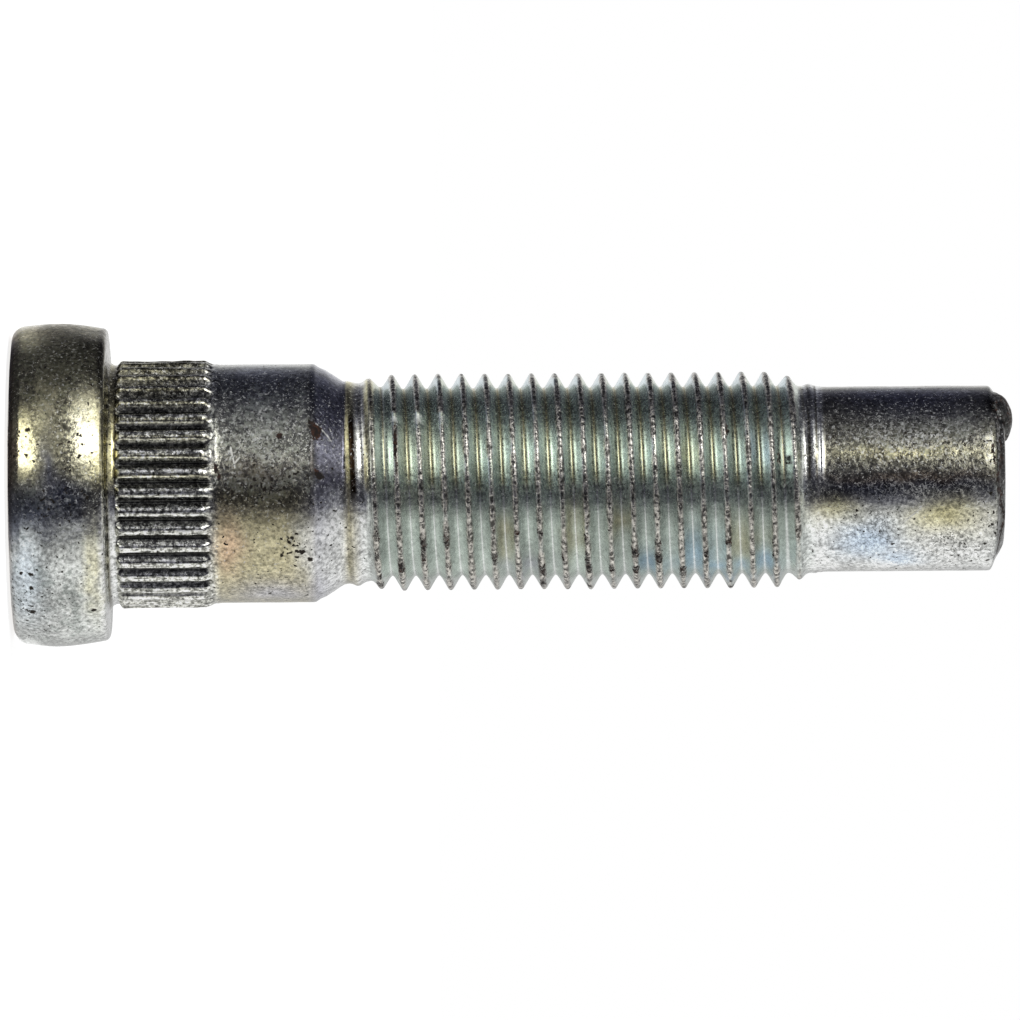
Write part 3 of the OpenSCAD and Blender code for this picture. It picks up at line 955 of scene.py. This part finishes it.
def zinc_material():
    """Zinc plate: a tint with fine speckle, dull places, pits, scratches, rust and rolled crests."""
    material = bpy.data.materials.new("zinc")
    nodes = Nodes(material)
    shader = nodes.tree.nodes["Principled BSDF"]
    nodes.place = nodes.add("ShaderNodeTexCoord").outputs["Object"]
    wobble = nodes.vector("SUBTRACT", nodes.grain(0.3, result="Color"), (0.5, 0.5, 0.5))
    moved = nodes.vector("ADD", nodes.place, nodes.scaled(wobble, 0.35 * MM))
    tint = nodes.add("ShaderNodeAttribute", attribute_name="tint").outputs["Color"]
    dull, rust, pitted = nodes.channels("wear")[:3]
    crest, groove, knurl = nodes.channels("form")[:3]
    flecked, scribbled, on_thread = nodes.channels("marks")[:3]

    fine = nodes.grain(0.24, 2.0, 0.65)
    middle = nodes.grain(0.5, 3.0, 0.65)
    along = nodes.vector("MULTIPLY", nodes.place, (1.0, 1.0, 0.1))
    streaks = nodes.grain(0.13, 2.0, 0.6, place=along)

    dull_share = nodes.spots(dull, 0.42, middle, 0.63, 0.79)
    rust_share = nodes.spots(rust, 0.6, nodes.grain(0.26, 3.0, 0.7), 0.74, 0.84)
    low_grain = nodes.maths("MULTIPLY", nodes.grain(0.27, 1.0), -1.0)
    pit_share = nodes.spots(pitted, 0.11, low_grain, -0.31, -0.25)
    pit_share = nodes.maths("MULTIPLY", pit_share, nodes.maths("SUBTRACT", 1.0, on_thread))
    pit_share = nodes.maths("MAXIMUM", pit_share, single_pits(nodes, moved))
    scratched = scratch_lines(nodes, nodes.place)
    lap = nodes.grain(0.26, 1.5, place=moved)
    crest_share = nodes.mapped(crest, 0.35, 0.75)
    fleck_share = nodes.spots(flecked, 0.12, nodes.grain(0.2, 2.5, 0.75, place=moved), 0.62, 0.73)
    lines = nodes.maths("ABSOLUTE", nodes.maths("SUBTRACT", nodes.grain(0.42, 2.0), 0.5))
    lines = nodes.maths("MULTIPLY", nodes.mapped(lines, 0.012, 0.035, 1.0, 0.0), scribbled)
    fleck_share = nodes.maths("MAXIMUM", fleck_share, lines)
    score_share = nodes.maths("MAXIMUM", nodes.maths("MULTIPLY", lines, -1.0), 0.0)

    speckle = nodes.mapped(fine, 0.3, 0.7, 0.46, 1.54)
    speckle = nodes.maths("MULTIPLY", speckle, nodes.mapped(middle, 0.34, 0.66, 0.76, 1.24))
    to_plain = nodes.maths("SUBTRACT", 1.0, speckle)
    speckle = nodes.maths("MULTIPLY_ADD", to_plain, nodes.maths("MULTIPLY", on_thread, 0.6), speckle)
    colour = nodes.mix(tint, nodes.grey(speckle), blend="MULTIPLY")
    colour = nodes.mix(colour, DULL_SHADE, dull_share, blend="MULTIPLY")
    colour = nodes.mix(colour, FLECK, nodes.maths("MULTIPLY", fleck_share, 0.6))
    streak_shade = nodes.grey(nodes.mapped(streaks, 0.36, 0.64, 0.3, 1.7))
    colour = nodes.mix(colour, streak_shade, nodes.maths("MULTIPLY", knurl, 0.9), blend="MULTIPLY")
    colour = nodes.mix(colour, nodes.grey(nodes.mapped(fine, 0.4, 0.6, 0.5, 1.5)), knurl, blend="MULTIPLY")
    # Painted shade: the grooves between the teeth, and the seam at the lobe, are darkened nearly to black
    colour = nodes.mix(colour, GROOVE_SHADE, groove, blend="MULTIPLY")
    lap_shade = nodes.grey(nodes.mapped(lap, 0.38, 0.64, 0.1, 0.78))
    lap_shade = nodes.mix(lap_shade, CREST_SHADE, blend="MULTIPLY")
    colour = nodes.mix(colour, lap_shade, crest_share)
    colour = nodes.mix(colour, SCRATCH, nodes.maths("MULTIPLY", scratched, 0.8))
    colour = nodes.mix(colour, SCORE_SHADE, score_share, blend="MULTIPLY")
    colour = nodes.mix(colour, PIT, pit_share)
    rust_colour = nodes.mix(RUST_DARK, RUST_PALE, nodes.mapped(fine, 0.48, 0.64))
    colour = nodes.mix(colour, rust_colour, rust_share)
    nodes.feed(shader.inputs["Base Color"], colour)

    rough = nodes.mapped(fine, 0.42, 0.66, *PLATE_ROUGH)
    rough = nodes.maths("MULTIPLY_ADD", on_thread, THREAD_ROUGHER, rough)
    worn = (
        (dull_share, DULL_ROUGH), (scratched, SCRATCH_ROUGH), (fleck_share, FLECK_ROUGH),
        (pit_share, PIT_ROUGH), (rust_share, RUST_ROUGH),
    )
    for share, value in worn:
        step = nodes.maths("SUBTRACT", value, rough)
        rough = nodes.maths("MULTIPLY_ADD", step, share, rough)
    nodes.feed(shader.inputs["Roughness"], rough)
    covered = nodes.maths("MAXIMUM", rust_share, nodes.maths("MULTIPLY", fleck_share, FLECK_SHARE))
    nodes.feed(shader.inputs["Metallic"], nodes.mapped(covered, 0.0, 1.0, 1.0, RUST_METAL))

    scuffed = nodes.maths("MULTIPLY_ADD", nodes.maths("ABSOLUTE", scribbled), 0.012, 0.012)
    height = nodes.maths("MULTIPLY", nodes.grain(0.28, 2.0, 0.6), scuffed)
    lap_height = nodes.mapped(lap, 0.35, 0.65, -0.02, 0.0)
    height = nodes.maths("MULTIPLY_ADD", crest_share, lap_height, height)
    bump = nodes.add("ShaderNodeBump", {"Height": height, "Strength": 1.0, "Distance": MM})
    nodes.feed(shader.inputs["Normal"], bump.outputs["Normal"])
    return material


# The studio

# The camera's place, its roll in degrees and the width of the picture at the stud
CAMERA_DISTANCE = 700.0
CAMERA_X = 1.835
CAMERA_Z = 32.1
CAMERA_TURN = 0.44
SENSOR = 36.0
PICTURE_WIDTH = 65.68


def make_camera():
    data = bpy.data.cameras.new("camera")
    data.sensor_width = SENSOR
    data.lens = SENSOR * CAMERA_DISTANCE / PICTURE_WIDTH
    data.clip_start = 0.01
    data.clip_end = 10.0
    camera = bpy.data.objects.new("camera", data)
    turn = math.radians(CAMERA_TURN)
    right = Vector((math.sin(turn), 0.0, math.cos(turn)))
    up = Vector((-math.cos(turn), 0.0, math.sin(turn)))
    back = Vector((0.0, -1.0, 0.0))
    camera.matrix_world = Matrix.Translation(
        Vector((CAMERA_X, -CAMERA_DISTANCE, CAMERA_Z)) * MM
    ) @ Matrix((right, up, back)).transposed().to_4x4()
    bpy.context.scene.collection.objects.link(camera)
    bpy.context.scene.camera = camera


def stage_mesh(name, corners, faces, material):
    """A part of the studio, seen by the camera and the stud alike."""
    mesh = bpy.data.meshes.new(name)
    mesh.from_pydata([tuple(c * MM for c in corner) for corner in corners], [], faces)
    mesh.update()
    made = bpy.data.objects.new(name, mesh)
    made.data.materials.append(material)
    bpy.context.scene.collection.objects.link(made)
    return made


# Shades of the studio as the metal sees it. Each row is a direction, in degrees from the camera towards the
# picture's top, with its shades from the floor at the stud's foot, ring by ring, to the floor far away and
# then in the bands that end at the angles of BAND_EDGES. Between two rows the shades change evenly.
BAND_EDGES = (8.0, 30.0, 52.0, 88.0)
LIGHT = (
    (-180, (0.6, 0.6, 0.6, 0.6, 0.6, 0.6, 0.6, 0.6, 0.6, 0.5, 0.3)),
    (-150, (0.6, 0.6, 0.6, 0.6, 0.6, 0.6, 0.6, 0.6, 0.6, 0.5, 0.4)),
    (-140, (0.6, 0.7, 0.9, 0.9, 0.65, 0.9, 0.9, 0.9, 0.9, 0.75, 0.6)),
    (-60, (0.6, 0.7, 0.9, 0.9, 0.62, 0.9, 0.9, 0.9, 0.9, 0.75, 0.58)),
    (-50, (0.35, 0.45, 0.8, 0.8, 0.5, 0.84, 0.84, 0.84, 0.84, 0.7, 0.48)),
    (-40, (0.25, 0.3, 0.55, 0.55, 0.32, 0.58, 0.58, 0.58, 0.58, 0.4, 0.3)),
    (-30, (0.1, 0.12, 0.22, 0.22, 0.16, 0.24, 0.24, 0.24, 0.24, 0.16, 0.15)),
    (-20, (0.05, 0.05, 0.05, 0.05, 0.14, 0.05, 0.05, 0.05, 0.05, 0.08, 0.14)),
    (-10, (0.05, 0.05, 0.05, 0.05, 0.14, 0.04, 0.04, 0.04, 0.05, 0.08, 0.14)),
    (0, (0.05, 0.06, 0.1, 0.08, 0.17, 0.05, 0.07, 0.08, 0.1, 0.12, 0.16)),
    (10, (0.06, 0.08, 0.4, 0.15, 0.35, 0.07, 0.13, 0.13, 0.5, 0.3, 0.34)),
    (17, (0.06, 0.1, 1.9, 0.2, 0.44, 0.08, 0.14, 0.16, 2.3, 0.6, 0.44)),
    (23, (0.06, 0.12, 2.9, 0.25, 0.58, 0.08, 0.21, 0.25, 3.7, 0.9, 0.6)),
    (30, (0.06, 0.12, 3.1, 0.3, 0.7, 0.08, 0.28, 0.32, 3.9, 1.1, 0.76)),
    (43, (0.06, 0.12, 2.9, 0.3, 0.86, 0.08, 0.2, 0.25, 3.6, 1.0, 0.95)),
    (50, (0.06, 0.1, 1.8, 0.25, 0.98, 0.08, 0.17, 0.21, 2.4, 0.8, 1.06)),
    (60, (0.05, 0.08, 0.5, 0.2, 1.0, 0.08, 0.16, 0.19, 0.9, 0.5, 1.1)),
    (70, (0.05, 0.06, 0.2, 0.15, 0.8, 0.07, 0.14, 0.16, 0.35, 0.35, 0.85)),
    (80, (0.05, 0.05, 0.12, 0.1, 0.45, 0.06, 0.08, 0.09, 0.12, 0.2, 0.42)),
    (90, (0.05, 0.05, 0.08, 0.08, 0.25, 0.05, 0.06, 0.06, 0.07, 0.12, 0.25)),
    (100, (0.05, 0.05, 0.06, 0.05, 0.12, 0.04, 0.04, 0.04, 0.05, 0.09, 0.14)),
    (120, (0.05, 0.05, 0.06, 0.05, 0.1, 0.04, 0.04, 0.04, 0.05, 0.08, 0.1)),
    (130, (0.08, 0.1, 0.1, 0.1, 0.1, 0.09, 0.09, 0.09, 0.09, 0.1, 0.12)),
    (140, (0.15, 0.2, 0.24, 0.24, 0.2, 0.24, 0.24, 0.24, 0.24, 0.2, 0.18)),
    (150, (0.3, 0.35, 0.4, 0.4, 0.35, 0.4, 0.4, 0.4, 0.4, 0.3, 0.2)),
    (160, (0.7, 0.7, 0.85, 0.85, 0.6, 0.85, 0.9, 0.9, 0.9, 0.4, 0.22)),
    (170, (0.9, 0.9, 1.0, 1.0, 0.9, 1.0, 1.0, 1.0, 1.0, 0.5, 0.25)),
    (180, (0.9, 0.9, 1.0, 1.0, 0.9, 1.0, 1.0, 1.0, 1.0, 0.5, 0.25)),
)
CARD_STEPS = 120
SHELL_R = 1200.0
# Edges of the floor's rings, and the share of a direction's angle that each has: the stud mirrors the floor
# beside it where it stands, and what is far away at twice the angle of its surface
FLOOR_RINGS = (
    (8.7, 0.5), (10.0, 0.5), (12.0, 0.55), (17.0, 0.6), (19.5, 0.65), (110.0, 0.95), (300.0, 1.0),
    (SHELL_R, 1.0),
)
SHELL_Z = 32.0
CARD_LIFT = 0.05
CARD_TINTS = ((0.92, 0.93, 1.18, 1.0), (1.0, 1.0, 1.0, 1.0))

# The floor's own grey, its glow where it is seen, its reach, and the world's strength for other light
FLOOR_GREY = (0.4, 0.4, 0.4, 1.0)
FLOOR_GLOW = 0.8
FLOOR_REACH = 4000.0
WORLD_LEVEL = 0.6
WHITE_LIGHT = (1.0, 1.0, 1.0, 1.0)

# The lamp: its place, what it aims at, its width in metres and its power in watts
LAMP_PLACE = Vector((-300.0, -250.0, 300.0))
LAMP_AIM = Vector((0.0, 0.0, 30.0))
LAMP_SIZE = 0.25
LAMP_POWER = 1.2


def shell_profile():
    """Points (distance, height, share of the angle) from the floor beside the stud out and up over it."""
    points = [(distance, CARD_LIFT, share) for distance, share in FLOOR_RINGS]
    for edge in BAND_EDGES:
        rise = math.radians(edge)
        points.append((SHELL_R * math.cos(rise), SHELL_Z + SHELL_R * math.sin(rise), 1.0))
    return points


def make_cards():
    """Grey cards round the stud, hidden from the camera, that give the zinc its dark and bright bands."""
    profile = shell_profile()
    directions = [direction for direction, levels in LIGHT]
    levels = np.array([levels for direction, levels in LIGHT])
    edges = np.linspace(-180.0, 180.0, CARD_STEPS + 1)
    corners, faces, shades = [], [], []
    for start, end in zip(edges[:-1], edges[1:]):
        first = len(corners)
        for turn in np.radians((start, end)):
            for distance, z, share in profile:
                corners.append((-distance * math.sin(turn * share), -distance * math.cos(turn * share), z))
        for band in range(len(profile) - 1):
            a = first + band
            faces.append((a, a + 1, a + 1 + len(profile), a + len(profile)))
            shades.append(np.interp((start + end) / 2, directions, levels[:, band]))
    material = bpy.data.materials.new("card")
    nodes = Nodes(material)
    nodes.tree.nodes.clear()
    shade = nodes.add("ShaderNodeAttribute", attribute_name="shade")
    hue = nodes.mix(*CARD_TINTS, nodes.mapped(shade.outputs["Fac"], 0.05, 0.4))
    light = nodes.add("ShaderNodeEmission", {"Color": hue, "Strength": shade.outputs["Fac"]})
    nodes.add("ShaderNodeOutputMaterial", {"Surface": light.outputs[0]})
    cards = stage_mesh("cards", corners, faces, material)
    layer = cards.data.attributes.new("shade", "FLOAT", "FACE")
    layer.data.foreach_set("value", shades)
    cards.visible_camera = False
    cards.visible_diffuse = False
    cards.visible_shadow = False


def seen_directly(nodes):
    """1 for what the camera sees, also in a mirror or through glass, and 0 for other light."""
    path = nodes.add("ShaderNodeLightPath").outputs
    seen = nodes.maths("MAXIMUM", path["Is Camera Ray"], path["Is Glossy Ray"])
    return nodes.maths("MAXIMUM", seen, path["Is Transmission Ray"])


def make_floor():
    """A pale floor that keeps a soft shadow."""
    material = bpy.data.materials.new("floor")
    nodes = Nodes(material)
    nodes.tree.nodes.clear()
    matt = nodes.add("ShaderNodeBsdfDiffuse", {"Color": FLOOR_GREY})
    glow = nodes.maths("MULTIPLY", seen_directly(nodes), FLOOR_GLOW)
    light = nodes.add("ShaderNodeEmission", {"Strength": glow})
    both = nodes.add("ShaderNodeAddShader", {0: matt.outputs[0], 1: light.outputs[0]})
    nodes.add("ShaderNodeOutputMaterial", {"Surface": both.outputs[0]})
    corners = [(FLOOR_REACH * x, FLOOR_REACH * y, 0.0) for x, y in ((-1, -1), (1, -1), (1, 1), (-1, 1))]
    stage_mesh("floor", corners, [(0, 1, 2, 3)], material)


def make_world():
    """White for what is seen directly or in the metal, and a plain grey light for the rest."""
    world = bpy.data.worlds.new("studio")
    bpy.context.scene.world = world
    nodes = Nodes(world)
    nodes.tree.nodes.clear()
    white = nodes.add("ShaderNodeBackground", {"Color": WHITE_LIGHT, "Strength": 1.0})
    grey = nodes.add("ShaderNodeBackground", {"Color": WHITE_LIGHT, "Strength": WORLD_LEVEL})
    lights = {0: seen_directly(nodes), 1: grey.outputs[0], 2: white.outputs[0]}
    both = nodes.add("ShaderNodeMixShader", lights)
    nodes.add("ShaderNodeOutputWorld", {"Surface": both.outputs[0]})


def make_lamp():
    data = bpy.data.lights.new("lamp", "AREA")
    data.shape = "DISK"
    data.size = LAMP_SIZE
    data.energy = LAMP_POWER
    lamp = bpy.data.objects.new("lamp", data)
    lamp.location = LAMP_PLACE * MM
    lamp.rotation_euler = (LAMP_AIM - LAMP_PLACE).to_track_quat("-Z", "Y").to_euler()
    lamp.visible_glossy = False
    bpy.context.scene.collection.objects.link(lamp)


make_camera()
make_stud()
make_floor()
make_cards()
make_lamp()
make_world()

view = bpy.context.scene.view_settings
view.view_transform = "Standard"
